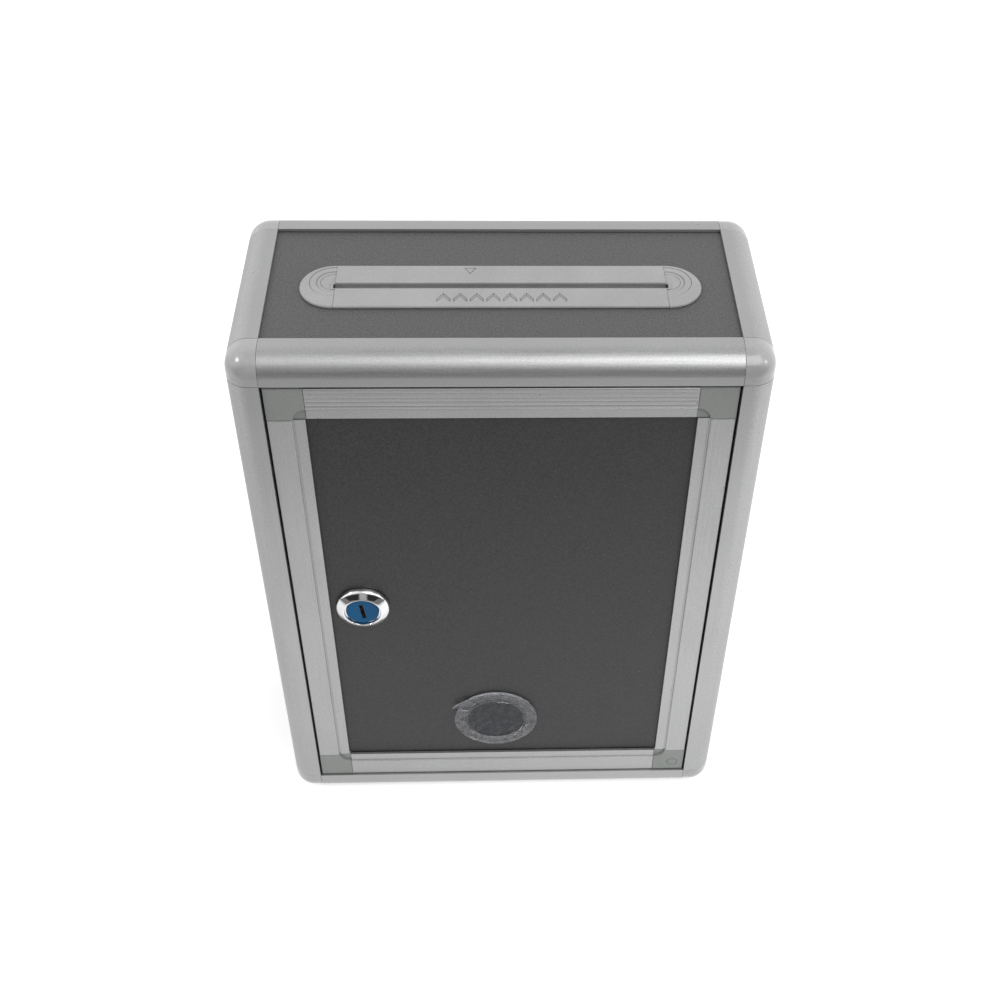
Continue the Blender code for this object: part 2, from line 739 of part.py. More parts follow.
def add_lock_fixings(material):
    """The washer and the nut that clamp the housing to the board from behind."""
    across_flats = 23 * MM
    hexagon = arc((0, 0), across_flats / math.sqrt(3), 30, 330, 5)
    washer_back = BOARD + GAP
    washer_thick = 0.8 * MM
    nut_back = washer_back + washer_thick + GAP
    nut_thick = 3.5 * MM
    hole = circle(BARREL_RADIUS + GAP)
    washer = extruded("lock_washer", [circle(12.3 * MM), hole], washer_thick, material)
    place(washer, LOCK + Vector((0, washer_back + washer_thick / 2, 0)), OUTWARD)
    nut = extruded("lock_nut", [hexagon, hole], nut_thick, material)
    place(nut, LOCK + Vector((0, nut_back + nut_thick / 2, 0)), OUTWARD)
    return [washer, nut]


def key_slot(name, depth):
    half_length, half_width = KEY_SLOT_LENGTH / 2, KEY_SLOT_WIDTH / 2
    slot = box(name, (-half_width, -half_length, -depth), (half_width, half_length, depth))
    place(slot, LOCK, OUTWARD)
    slot.rotation_euler = (math.pi / 2, -KEY_SLOT_TILT, 0)
    return slot


def add_lock_plug(materials):
    """The turning core: plug, blue cap, cam and the screw that holds the cam."""
    rear = -BARREL_DEPTH - 0.6 * MM
    cam_front = rear - GAP
    cam_rear = cam_front - CAM_THICK
    screw_radius = 1.5 * MM
    screw_end = -5 * MM
    plug_profile = [
        (0, 2.4 * MM),
        (PLUG_RADIUS, 2.4 * MM),
        (PLUG_RADIUS, rear),
        (screw_radius + GAP, rear),
        (screw_radius + GAP, screw_end + GAP),
        (0, screw_end + GAP),
    ]
    plug = place(turned("lock_plug", plug_profile, materials["brass"]), LOCK, OUTWARD)
    cut(plug, key_slot("plug_keyway", 4 * MM))
    cap = cylinder("lock_cap", CAP_RADIUS, 2.7 * MM, 3.7 * MM, materials["blue"], TURN_STEPS)
    place(cap, LOCK, OUTWARD)
    cut(cap, key_slot("cap_slot", 6 * MM))
    cam = extruded("lock_cam", [cam_outline(), circle(screw_radius + GAP)], CAM_THICK, materials["steel"])
    place(cam, LOCK - Vector((0, (cam_front + cam_rear) / 2, 0)), OUTWARD)
    head = cam_rear - GAP
    screw_profile = [
        (0, screw_end),
        (screw_radius, screw_end),
        (screw_radius, head),
        (3 * MM, head),
        (3 * MM, head - 1.2 * MM),
        (2.2 * MM, head - 2 * MM),
        (0, head - 2 * MM),
    ]
    screw = turned("lock_cam_screw", screw_profile, materials["steel"], SMALL_STEPS)
    place(screw, LOCK, OUTWARD)
    return [plug, cap, cam, screw]


def cam_outline():
    """A cam that hangs down: round at the plug, and straight and narrower to its tip."""
    radius = CAM_WIDTH / 2
    tip = CAM_TIP_WIDTH / 2
    corner = 1.5 * MM
    return [
        *arc((0, 0), radius, -20, 200, 2 * ARC_STEPS),
        (-tip, -CAM_LENGTH / 2),
        *arc((-tip + corner, -CAM_LENGTH + corner), corner, 180, 270, 3),
        *arc((tip - corner, -CAM_LENGTH + corner), corner, 270, 360, 3),
        (tip, -CAM_LENGTH / 2),
    ]


def add_keeper(materials):
    """A plate behind the left post, which stops the door and takes the cam."""
    plate = box("lock_keeper", KEEPER_LOW, KEEPER_LOW + KEEPER_SIZE, materials["steel"])
    post = bpy.data.objects["post_front_left"]
    rear = KEEPER_LOW.y + KEEPER_SIZE.y
    head = 0.9 * MM
    for z_name, offset in (("upper", KEEPER_SCREW_OFFSET), ("lower", -KEEPER_SCREW_OFFSET)):
        centre = Vector((KEEPER_SCREW_X, rear, LOCK.z + offset))
        profile = [
            (0, KEEPER_SCREW_DEPTH),
            (KEEPER_SCREW_RADIUS, KEEPER_SCREW_DEPTH),
            (KEEPER_SCREW_RADIUS, -GAP),
            (2 * KEEPER_SCREW_RADIUS, -GAP),
            (1.6 * KEEPER_SCREW_RADIUS, -GAP - head),
            (0, -GAP - head),
        ]
        screw = turned(f"keeper_screw_{z_name}", profile, materials["steel"], SMALL_STEPS)
        place(screw, centre, OUTWARD)
        for target in (plate, post):
            hole = cylinder(
                f"keeper_hole_{z_name}_{target.name}",
                KEEPER_SCREW_RADIUS + GAP,
                -KEEPER_SCREW_DEPTH,
                KEEPER_SCREW_DEPTH + GAP,
            )
            cut(target, place(hole, centre, OUTWARD))


# Assembly


def main():
    clear_scene()
    materials = make_materials()

    add_rails(materials["aluminium"])
    add_corners(materials["corner"])
    add_boards(materials["board"])
    add_slot_bars(materials["trim"])
    add_slot_ends(materials["trim"])
    add_keeper(materials)

    door = add_door_profiles(materials["aluminium"])
    corners = add_door_corners(materials["connector"])
    door += corners.values()
    door.append(add_door_board(materials["board"]))
    door += add_hinge(materials, corners)
    add_moulding_mark(corners["right_bottom"])
    door += add_window(materials["clear"])
    door.append(add_lock_housing(materials["chrome"]))
    door += add_lock_fixings(materials["steel"])

    door_axis = pivot("door_axis", HINGE)
    lock_axis = pivot("lock_axis", LOCK)
    attach(lock_axis, door_axis, HINGE)
    for piece in door:
        attach(piece, door_axis, HINGE)
    for piece in add_lock_plug(materials):
        attach(piece, lock_axis, LOCK)


main()
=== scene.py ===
"""Looks of the donation box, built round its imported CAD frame.

Metres, in the frame's own axes: +Z up, the door faces -Y, and the origin is the middle of the base.
"""

import math

import bmesh
import bpy
from mathutils import Euler, Matrix, Vector


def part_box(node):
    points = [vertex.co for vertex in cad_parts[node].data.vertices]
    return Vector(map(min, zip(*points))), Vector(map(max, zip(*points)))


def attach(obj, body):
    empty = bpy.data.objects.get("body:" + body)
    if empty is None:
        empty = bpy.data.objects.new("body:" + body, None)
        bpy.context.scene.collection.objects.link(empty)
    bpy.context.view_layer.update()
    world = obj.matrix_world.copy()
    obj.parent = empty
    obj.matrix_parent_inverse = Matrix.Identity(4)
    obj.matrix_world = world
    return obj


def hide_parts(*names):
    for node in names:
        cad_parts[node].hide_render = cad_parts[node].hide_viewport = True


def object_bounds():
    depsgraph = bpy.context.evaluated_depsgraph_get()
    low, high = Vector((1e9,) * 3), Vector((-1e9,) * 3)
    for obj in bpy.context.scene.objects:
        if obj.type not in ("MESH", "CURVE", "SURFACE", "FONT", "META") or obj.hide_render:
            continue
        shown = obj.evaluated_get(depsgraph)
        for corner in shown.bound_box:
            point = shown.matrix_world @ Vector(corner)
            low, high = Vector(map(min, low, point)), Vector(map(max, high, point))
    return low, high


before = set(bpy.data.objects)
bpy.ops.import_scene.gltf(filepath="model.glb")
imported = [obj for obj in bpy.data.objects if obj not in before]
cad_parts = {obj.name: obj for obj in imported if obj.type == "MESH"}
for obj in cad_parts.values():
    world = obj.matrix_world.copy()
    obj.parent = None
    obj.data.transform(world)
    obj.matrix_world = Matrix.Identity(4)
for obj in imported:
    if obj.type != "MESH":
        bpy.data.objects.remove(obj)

CAD_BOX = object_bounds()
MM = 0.001

# Camera and light
CAMERA_AT = Vector((-0.004, -0.4374, 0.573))
CAMERA_TURN = Euler([math.radians(a) for a in (44.718, -1.427, -2.053)])
CAMERA_LENS = 50.075
CAMERA_SHIFT = (-0.0521, 0.0298)
SENSOR_WIDTH = 36
CLIP_START = 0.01
FLOOR_RADIUS = 12.0
FLOOR_GLOW = 0.3
FLOOR_LIGHT_SIDES = (1.0, 1.3)  # light thrown back by the floor to the left and to the right
FLOOR_SIDE = 0.2  # how far to the left and to the right that is
FLOOR_LIGHT_FAR = 0.2
TABLE_START = -0.2
TABLE_END = -0.56
# The floor light below is a painted glow, and the foot shade is painted shade in it.
FOOT_SHADE = 0.85  # part of the floor light that is left at the foot of the door side
FOOT = (-0.11, -0.055)  # where the floor in front of the door starts to lose light, and where it ends
WORLD_BACK = 0.82
WORLD_SIDE = 1.3
WORLD_TOP = 0.5  # straight up
TOP_EDGE = (0.89, 0.98)  # how high a direction points where the surround starts to dim, and where it ends
WORLD_FRONT = (0.42, 0.03)  # low in front: straight ahead, and to the sides of that
FRONT_SIDES = (0.12, 0.22)  # how far sideways a direction points where one passes into the other
FRONT_EDGE = (-0.62, -0.22)  # from dark to open, as a direction's Y plus its raised Z
FRONT_RAISE = 0.9
KEY_AT = (0.53, -0.85, 1.27)
KEY_SIZE = (1.03, 0.98)
KEY_POWER = 7.7
LEFT_AT = (-1.06, -0.39, 1.04)
LEFT_POWER = 3.2
RIGHT_AT = (1.22, -0.5, 0.72)
RIGHT_POWER = 1.6
SPOT_SIZE = (0.3, 0.3)
LIGHT_TARGET = (0, 0, 0.2)

# Case frame
GAP = 0.3 * MM  # between two CAD pieces
FACE = 12.5 * MM  # face width of a case rail
ROUND = 9 * MM  # outer edge of the rails and the corners
LIP = 1.2 * MM  # wall on each side of a board's groove
GROOVE = 3.6 * MM
GROOVE_FLOOR = 8.2 * MM  # from the rail's outer face
WEB = 9 * MM  # where the slanted wall between the two grooves starts and ends

# Ball corners
BALL_EDGE = 0.12 * MM

# Slot trim
SLOT_WIDTH = 3.5 * MM
TRIM_WIDTH = 26.1 * MM
TRIM_THICK = 1 * MM
TRIM_EDGE = 0.6 * MM
TRIM_END_X = 62.65 * MM
BAR_EDGE = 0.25 * MM  # rounding beside the slot
SLOT_HALF = 63.2 * MM
LEG = 1.5 * MM
LEG_DEPTH = 6.8 * MM
UNDERCUT = 0.7 * MM
RING_X = 63.1 * MM
OUTER_RING = 9.2 * MM
RING_DEPTH = 0.35 * MM
SINK = 0.1 * MM  # how far the face inside the outer ring lies below the face outside it
DISH = 6.6 * MM
DISH_EDGE_DEPTH = 0.5 * MM
DISH_DEPTH = 0.78 * MM
INNER_RING = 4.9 * MM
INNER_RING_DEPTH = 0.62 * MM
LIP_WIDTH = 0.5 * MM  # what stands between the dish and the slot
LIP_LENGTH = 0.7 * MM
TRIM_BAR_EDGE = 0.05 * MM
CHEVRONS = 8
CHEVRON = 5.2 * MM
CHEVRON_PITCH = 6.2 * MM
ENGRAVED = 0.35 * MM
GROOVE_WIDTH = 0.38 * MM
ARROW_AT = (-11.8 * MM, 9.4 * MM)  # from the slot's middle
ARROW = [(-2.4 * MM, 1.9 * MM), (0, -2.2 * MM), (2.4 * MM, 1.9 * MM)]

# Door
DOOR_BORDER = 14.1 * MM
OUTER_BAND = 9.2 * MM
STEP = 0.7 * MM
STEP_GROOVE = 0.12 * MM
POCKET_FRONT = 1.9 * MM
DOOR_THICK = 10 * MM
FLUTES = (  # place and depth
    (1.6 * MM, 0.05 * MM),
    (3.9 * MM, 0.05 * MM),
    (5.6 * MM, 0.07 * MM),
    (7.6 * MM, 0.09 * MM),
)
DOOR_EDGE = 0.5 * MM
DOOR_FINE_EDGE = 0.1 * MM
POCKET_END = 10 * MM
TUBE = 8 * MM
DOOR_WALL = 1.2 * MM
CORNER_STEP = 5 * MM
CORNER_DROP = 0.5 * MM  # the floor of that step lies this far behind the profiles beside it
CORNER_ROUNDING = 0.35 * MM
CORNER_OVERLAP = 1 * MM
MARK_INSET = 5.3 * MM
MARK = ((2.1, 1), (2.8, 1), (2.5, -0.3), (2.3, -0.3))  # its groove's section: radius and height in mm
DOOR_GROW = 0.36 * MM  # how far the finished door reaches into the gap above it and below it
SEAM = 0.12 * MM  # what is left open between two finished pieces

# Window
WINDOW_DISC = 12.7 * MM
WINDOW_RIM = 1 * MM
WINDOW_BARREL = 14.2 * MM
WINDOW_DEPTH = 6 * MM

# Spilt plastic on the window, in mm from its middle. Each ridge has its points, its height and its radius.
UPPER_LEFT = (
    (-19.9, 8.8),
    (-17.6, 10.6),
    (-15.6, 12.6),
    (-13.4, 14),
    (-11.6, 13),
    (-9.7, 11.9),
    (-8.4, 10.9),
)
LEFT = ((-16.6, 9), (-14.8, 7), (-12.7, 7.6), (-11.2, 9.2))
LOWER_RIGHT = ((7.4, -13.3), (9.3, -11.6), (10.7, -9.8), (11.9, -7.4), (12.6, -4.6), (13, -1.6))
RIGHT = ((13.4, -5.9), (14, -4.6), (13.9, -3.4))
UPPER = ((0.2, 13.9), (1.9, 13.7), (4.3, 13.1), (5.9, 12.2))
WINDOW_FLASH = (
    (UPPER_LEFT, 1.55, 0.7),
    (LEFT, 1.7, 0.45),
    (LOWER_RIGHT, 1.5, 0.6),
    (RIGHT, 1.8, 0.5),
    (UPPER, 1.8, 0.45),
)

# Lock
CAP_RECESS = 7.5 * MM
CAP = ((6.5, 3.35), (6.75, 3.3), (6.9, 3.1), (6.95, 2.7))  # the cap's edge: radius and height in mm
DOME = (  # the bezel's face, from the cap outwards: radius and height in mm
    (7.5, 3.2),
    (7.5, 3.7),
    (7.62, 3.9),
    (7.9, 4.0),
    (8.25, 3.92),
    (8.8, 3.6),
    (9.6, 3.1),
    (10.4, 2.58),
    (10.85, 2.22),
    (11.1, 1.9),
    (11.27, 1.5),
    (11.36, 1.1),
)
BARREL = 9 * MM
BARREL_END = 10 * MM
PLUG_BORE = 6.3 * MM
CAP_FLOOR = 2.6 * MM
CAP_EDGE = 0.1 * MM
KEY_TILT = math.radians(8.7)
KEY_SLOT = (0.85 * MM, 4.2 * MM, 6 * MM)  # half its width, half its length, and the cutter's height

SMOOTH_ANGLE = math.radians(32)
FINE_EDGE = 0.18 * MM
WELD = 0.001 * MM
ARC = 20
TURN = 96
OUTWARD = Matrix.Rotation(math.pi / 2, 4, "X")  # local +Z to face out of the door, along -Y


# Mesh tools


def arc(centre, radius, start, end, steps=ARC):
    """Points on an arc, with its angles in degrees."""
    angles = [math.radians(start + (end - start) * i / steps) for i in range(steps + 1)]
    return [(centre[0] + radius * math.cos(a), centre[1] + radius * math.sin(a)) for a in angles]


def in_mm(points):
    return [tuple(part * MM for part in point) for point in points]


def add_object(name, mesh):
    obj = bpy.data.objects.new(name, mesh)
    bpy.context.scene.collection.objects.link(obj)
    return obj


def evaluated_mesh(obj):
    graph = bpy.context.evaluated_depsgraph_get()
    return bpy.data.meshes.new_from_object(obj.evaluated_get(graph))


def from_bmesh(name, bm, matrix=Matrix.Identity(4)):
    bmesh.ops.recalc_face_normals(bm, faces=bm.faces)
    mesh = bpy.data.meshes.new(name)
    bm.to_mesh(mesh)
    bm.free()
    mesh.transform(matrix)
    if matrix.determinant() < 0:
        mesh.flip_normals()
    return add_object(name, mesh)


def extruded(name, loops, length, matrix=Matrix.Identity(4)):
    """A flat outline, with any holes after it, made solid along local Z about its middle."""
    curve = bpy.data.curves.new(name, "CURVE")
    curve.dimensions = "2D"
    curve.fill_mode = "BOTH"
    curve.extrude = length / 2
    for loop in loops:
        spline = curve.splines.new("POLY")
        spline.points.add(len(loop) - 1)
        spline.use_cyclic_u = True
        for point, (x, y) in zip(spline.points, loop):
            point.co = (x, y, 0, 1)
    outline = add_object(name, curve)
    bm = bmesh.new()
    bm.from_mesh(evaluated_mesh(outline))
    bpy.data.objects.remove(outline, do_unlink=True)
    bmesh.ops.remove_doubles(bm, verts=bm.verts, dist=1e-7)
    return from_bmesh(name, bm, matrix)


def turned(name, profile, matrix=Matrix.Identity(4), steps=TURN, ring=False):
    """A profile of (radius, height) points turned round local Z. A ring's profile is closed."""
    bm = bmesh.new()
    rows = []
    for radius, height in profile:
        if radius == 0:  # one shared point, so the faces beside it are triangles
            rows.append([bm.verts.new((0, 0, height))] * steps)
            continue
        angles = [2 * math.pi * i / steps for i in range(steps)]
        rows.append([bm.verts.new((radius * math.cos(a), radius * math.sin(a), height)) for a in angles])
    if ring:
        rows.append(rows[0])
    for lower, upper in zip(rows, rows[1:]):
        for i in range(steps):
            around = (lower[i - 1], lower[i], upper[i], upper[i - 1])
            bm.faces.new(dict.fromkeys(around))  # each point once, in order
    return from_bmesh(name, bm, matrix)


def inset(loop, distance):
    """A closed outline that runs anticlockwise, moved inwards by a distance."""
    moved = []
    for before, here, after in zip(loop[-1:] + loop[:-1], loop, loop[1:] + loop[:1]):
        first = (Vector(here) - Vector(before)).normalized()
        second = (Vector(after) - Vector(here)).normalized()
        normal = Vector((-first.y, first.x)) + Vector((-second.y, second.x))
        reach = distance * 2 / max(normal.length_squared, 0.5)
        moved.append((here[0] + normal.x * reach, here[1] + normal.y * reach))
    return moved


def plate(name, loop, thickness, rounding, matrix=Matrix.Identity(4), steps=4):
    """A plate from an anticlockwise outline. Its face is at local zero and has a rounded edge."""
    bm = bmesh.new()
    rings = [[bm.verts.new((x, y, -thickness)) for x, y in loop]]
    for i in range(steps + 1):
        angle = math.pi / 2 * i / steps
        depth = rounding * (1 - math.sin(angle))
        points = inset(loop, rounding * (1 - math.cos(angle)))
        rings.append([bm.verts.new((x, y, -depth)) for x, y in points])
    for lower, upper in zip(rings, rings[1:]):
        for i in range(len(loop)):
            bm.faces.new((lower[i - 1], lower[i], upper[i], upper[i - 1]))
    bm.faces.new(rings[-1])
    bm.faces.new(rings[0][::-1])
    return from_bmesh(name, bm, matrix)


def prism(name, loop, height, matrix):
    """A block that stands on an outline."""
    bm = bmesh.new()
    rings = [[bm.verts.new((x, y, z)) for x, y in loop] for z in (0, height)]
    for i in range(len(loop)):
        bm.faces.new((rings[0][i - 1], rings[0][i], rings[1][i], rings[1][i - 1]))
    bm.faces.new(rings[0][::-1])
    bm.faces.new(rings[1])
    return from_bmesh(name, bm, matrix)


def box(name, low, high, matrix=Matrix.Identity(4)):
    low, high = Vector(low), Vector(high)
    bm = bmesh.new()
    bmesh.ops.create_cube(bm, size=1)
    bmesh.ops.scale(bm, vec=high - low, verts=bm.verts)
    bmesh.ops.translate(bm, vec=(low + high) / 2, verts=bm.verts)
    return from_bmesh(name, bm, matrix)


def combine(obj, others, operation):
    for other in others:
        modifier = obj.modifiers.new("combine", "BOOLEAN")
        modifier.operation = operation
        modifier.solver = "EXACT"
        modifier.object = other
    mesh = evaluated_mesh(obj)
    obj.modifiers.clear()
    obj.data = mesh
    for other in others:
        bpy.data.objects.remove(other, do_unlink=True)
    return obj


def weld(obj):
    """Joins the points that Booleans leave on top of each other."""
    bm = bmesh.new()
    bm.from_mesh(obj.data)
    bmesh.ops.remove_doubles(bm, verts=bm.verts, dist=WELD)
    bm.to_mesh(obj.data)
    bm.free()


def cut(obj, *cutters):
    return combine(obj, cutters, "DIFFERENCE")


def join(obj, *others):
    return combine(obj, others, "UNION")


def soften(obj, width=FINE_EDGE, segments=2, smooth_angle=SMOOTH_ANGLE):
    """Rounds the sharp edges and shades the rest smooth."""
    obj.data.shade_smooth()
    obj.data.set_sharp_from_angle(angle=smooth_angle)
    if width:
        bevel = obj.modifiers.new("edges", "BEVEL")
        bevel.width = width
        bevel.segments = segments
        bevel.limit_method = "ANGLE"
        bevel.angle_limit = smooth_angle
        bevel.use_clamp_overlap = True
    flat = obj.modifiers.new("flat faces", "WEIGHTED_NORMAL")
    flat.keep_sharp = True
    return obj


def use(obj, node, body, material):
    """Makes obj stand for a CAD node, on that node's body."""
    obj.data.materials.clear()
    obj.data.materials.append(material)
    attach(obj, body)
    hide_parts(node)
    return obj


# Materials


def link(tree, output, target):
    tree.links.new(output, target)


def add_node(tree, kind, settings=None, **inputs):
    """A shader node. Inputs go by name, or i0 for the first, and are a value or another node's output."""
    node = tree.nodes.new(kind)
    for key, value in (settings or {}).items():
        setattr(node, key, value)
    for key, value in inputs.items():
        socket = node.inputs[int(key[1:])] if key[0] == "i" and key[1:].isdigit() else node.inputs[key]
        if isinstance(value, bpy.types.NodeSocket):
            link(tree, value, socket)
        else:
            socket.default_value = value
    return node


def object_coordinates(tree, scale=(1, 1, 1)):
    """Points on the object in metres, multiplied by scale."""
    place = add_node(tree, "ShaderNodeTexCoord")
    mapping = add_node(tree, "ShaderNodeMapping", None, i0=place.outputs["Object"])
    mapping.inputs["Scale"].default_value = scale
    return mapping.outputs["Vector"]


def noise_at(tree, vector, scale=1.0, detail=2.0, roughness=0.5):
    texture = add_node(tree, "ShaderNodeTexNoise", None, Vector=vector, Scale=scale, Detail=detail)
    texture.inputs["Roughness"].default_value = roughness
    return texture.outputs["Fac"]


def spread(tree, value, low, high, start=0.3, end=0.7):
    """A value from start to end, moved to run from low to high."""
    node = add_node(tree, "ShaderNodeMapRange", None, Value=value)
    for key, number in (("From Min", start), ("From Max", end), ("To Min", low), ("To Max", high)):
        node.inputs[key].default_value = number
    return node.outputs["Result"]


def blend(tree, factor, first, second):
    """A colour between two colours. Each is three numbers or another node's output."""
    node = add_node(tree, "ShaderNodeMix", {"data_type": "RGBA"})
    link(tree, factor, node.inputs["Factor"])
    for socket, colour in ((node.inputs[6], first), (node.inputs[7], second)):
        if isinstance(colour, bpy.types.NodeSocket):
            link(tree, colour, socket)
        else:
            socket.default_value = (*colour, 1)
    return node.outputs[2]


def grey(value, tint=(1, 1, 1)):
    return tuple(value * t for t in tint)


def bump(tree, height, distance, strength=1.0, normal=None):
    node = add_node(tree, "ShaderNodeBump", None, Height=height, Distance=distance, Strength=strength)
    if normal is not None:
        link(tree, normal, node.inputs["Normal"])
    return node.outputs["Normal"]


def new_material(name):
    material = bpy.data.materials.new(name)
    material.use_nodes = True
    tree = material.node_tree
    return material, tree, tree.nodes["Principled BSDF"]


def anodised(name, along):
    """Satin anodised aluminium with fine lines along one axis, a sandy grain, and a few tiny pits."""
    material, tree, shader = new_material(name)
    stretch = [1.0, 1.0, 1.0]
    stretch[along] = 0.012
    lines = noise_at(tree, object_coordinates(tree, stretch), 2600, 3)
    grain = noise_at(tree, object_coordinates(tree), 2400, 2, 0.6)
    cloud = noise_at(tree, object_coordinates(tree), 22, 3)
    tone = blend(tree, spread(tree, cloud, 0, 1), (0.37, 0.375, 0.37), (0.41, 0.41, 0.415))
    tone = blend(tree, spread(tree, grain, 0, 0.6, 0.36, 0.64), tone, grey(0.56))
    pits = add_node(tree, "ShaderNodeTexVoronoi", {"feature": "F1"}, Scale=70.0)
    link(tree, object_coordinates(tree), pits.inputs["Vector"])
    pitted = spread(tree, pits.outputs["Distance"], 0.8, 0, 0.01, 0.028)
    tone = blend(tree, pitted, tone, grey(0.12))
    link(tree, tone, shader.inputs["Base Color"])
    shader.inputs["Metallic"].default_value = 0.92
    link(tree, spread(tree, lines, 0.36, 0.46), shader.inputs["Roughness"])
    fine = bump(tree, grain, 0.022 * MM)
    link(tree, bump(tree, lines, 0.016 * MM, 1.0, fine), shader.inputs["Normal"])
    return material


def moulded(name, dark, light, roughness, grain_size=900, relief=0.012, coat=0.0, specular=0.5):
    """Moulded plastic with a faintly uneven tone, a grained face and patchy gloss."""
    material, tree, shader = new_material(name)
    grain = noise_at(tree, object_coordinates(tree), grain_size, 3, 0.55)
    cloud = noise_at(tree, object_coordinates(tree), 45, 4)
    tone = blend(tree, spread(tree, cloud, 0, 1), dark, light)
    tone = blend(tree, spread(tree, grain, 0, 0.12), tone, grey(0.05))
    link(tree, tone, shader.inputs["Base Color"])
    link(tree, spread(tree, cloud, roughness - 0.05, roughness + 0.05), shader.inputs["Roughness"])
    link(tree, bump(tree, grain, relief * MM), shader.inputs["Normal"])
    shader.inputs["Specular IOR Level"].default_value = specular
    shader.inputs["Coat Weight"].default_value = coat
    shader.inputs["Coat Roughness"].default_value = 0.12
    return material


def board(name, dark, light, cloudy):
    """Charcoal laminate: a sandy speckle, a few pale specks and a fine pebbled face."""
    material, tree, shader = new_material(name)
    coordinates = object_coordinates(tree)
    speckle = noise_at(tree, coordinates, 1450, 3, 0.8)
    cloud = noise_at(tree, coordinates, 30, 3)
    tone = blend(tree, spread(tree, speckle, 0, 1, 0.36, 0.62), dark, light)
    tone = blend(tree, spread(tree, cloud, 0, 0.2), tone, cloudy)
    specks = add_node(tree, "ShaderNodeTexVoronoi", {"feature": "F1"}, Scale=160.0)
    link(tree, coordinates, specks.inputs["Vector"])
    pale = spread(tree, specks.outputs["Distance"], 0.75, 0, 0.02, 0.05)
    tone = blend(tree, pale, tone, grey(0.13))
    link(tree, tone, shader.inputs["Base Color"])
    link(tree, spread(tree, speckle, 0.36, 0.5), shader.inputs["Roughness"])
    link(tree, bump(tree, speckle, 0.02 * MM), shader.inputs["Normal"])
    return material


def metal(name, colour, low, high, line_scale=1400, relief=0.004):
    """Bare or plated metal with fine scratches and uneven polish."""
    material, tree, shader = new_material(name)
    scratch = noise_at(tree, object_coordinates(tree, (1, 1, 0.08)), line_scale, 4)
    cloud = noise_at(tree, object_coordinates(tree), 160, 3)
    tone = blend(tree, spread(tree, cloud, 0, 1), colour, tuple(c * 0.88 for c in colour))
    link(tree, tone, shader.inputs["Base Color"])
    shader.inputs["Metallic"].default_value = 1.0
    link(tree, spread(tree, scratch, low, high), shader.inputs["Roughness"])
    link(tree, bump(tree, scratch, relief * MM), shader.inputs["Normal"])
    return material


def clear_plastic(name):
    """Clear moulding with flow marks and a slight haze, which is thickest round its thin middle. The thin
    middle is painted darker, a painted shade for the dark inside of the box seen through it.
    """
    material, tree, shader = new_material(name)
    flow = noise_at(tree, object_coordinates(tree), 330, 4, 0.6)
    tone = blend(tree, spread(tree, flow, 0, 1), (0.3, 0.31, 0.34), (0.85, 0.85, 0.88))
    middle = add_node(tree, "ShaderNodeVectorMath", {"operation": "DISTANCE"})
    link(tree, object_coordinates(tree), middle.inputs[0])
    low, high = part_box("window_lens")
    middle.inputs[1].default_value = ((low.x + high.x) / 2, low.y, (low.z + high.z) / 2)
    # Painted shade: inside the disc's edge the tone turns darker, where the dark inside of the box shows
    # through.
    inner = spread(tree, middle.outputs["Value"], 1, 0, WINDOW_DISC - 0.4 * MM, WINDOW_DISC + 0.8 * MM)
    painted_shade_streaks = blend(tree, spread(tree, flow, 0, 1, 0.45, 0.8), (0.1, 0.11, 0.14), (0.42, 0.42, 0.46))
    tone = blend(tree, inner, tone, painted_shade_streaks)
    link(tree, tone, shader.inputs["Base Color"])
    shader.inputs["Transmission Weight"].default_value = 0.9
    shader.inputs["IOR"].default_value = 1.38
    link(tree, spread(tree, flow, 0.1, 0.26), shader.inputs["Roughness"])
    link(tree, bump(tree, flow, 0.016 * MM), shader.inputs["Normal"])
    return material


def make_materials():
    return {
        "x": anodised("anodised_along_x", 0),
        "y": anodised("anodised_along_y", 1),
        "z": anodised("anodised_along_z", 2),
        "corner": moulded("corner_plastic", grey(0.31), grey(0.36), 0.3, 500, 0.003, 1.0),
        "trim": moulded("trim_plastic", grey(0.31), grey(0.35), 0.42, 1100),
        "connector": moulded("connector_plastic", (0.21, 0.225, 0.213), (0.245, 0.255, 0.245), 0.36, 1300),
        "nylon": moulded("white_nylon", grey(0.7), grey(0.78), 0.5, 900),
        "blue": moulded("blue_plastic", (0.001, 0.075, 0.19), (0.002, 0.1, 0.24), 0.5, 1600, specular=0.15),
        "board": board("charcoal_board", grey(0.002), grey(0.031), (0.024, 0.028, 0.024)),
        # The top panel gets a lighter copy of the same laminate: painted light for the stronger light that
        # falls on the top.
        "painted_lit_top_board": board("charcoal_board_painted_lit_top", grey(0.036), grey(0.108), grey(0.08)),
        "chrome": metal("lock_chrome", (0.86, 0.86, 0.87), 0.03, 0.08, 900, 0.001),
        "steel": metal("zinc_plated_steel", (0.55, 0.55, 0.52), 0.28, 0.42),
        "brass": metal("plain_brass", (0.6, 0.43, 0.17), 0.25, 0.4),
        "clear": clear_plastic("clear_plastic"),
    }


# Case


def section_place(node, first, second):
    """Where a section drawn from the outer corner of a node sits, and how long the node is."""
    low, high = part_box(node)
    first, second = Vector(first), Vector(second)
    along = first.cross(second)
    corner = (low + high) / 2
    for direction in (first, second):
        axis = max(range(3), key=lambda i: abs(direction[i]))
        corner[axis] = low[axis] if direction[axis] > 0 else high[axis]
    axis = max(range(3), key=lambda i: abs(along[i]))
    basis = Matrix((first, second, along)).transposed().to_4x4()
    return Matrix.Translation(corner) @ basis, high[axis] - low[axis], "xyz"[axis]


def groove(swapped):
    points = [(LIP, FACE), (LIP, GROOVE_FLOOR), (LIP + GROOVE, GROOVE_FLOOR), (LIP + GROOVE, FACE)]
    return [(y, x) for x, y in reversed(points)] if swapped else points


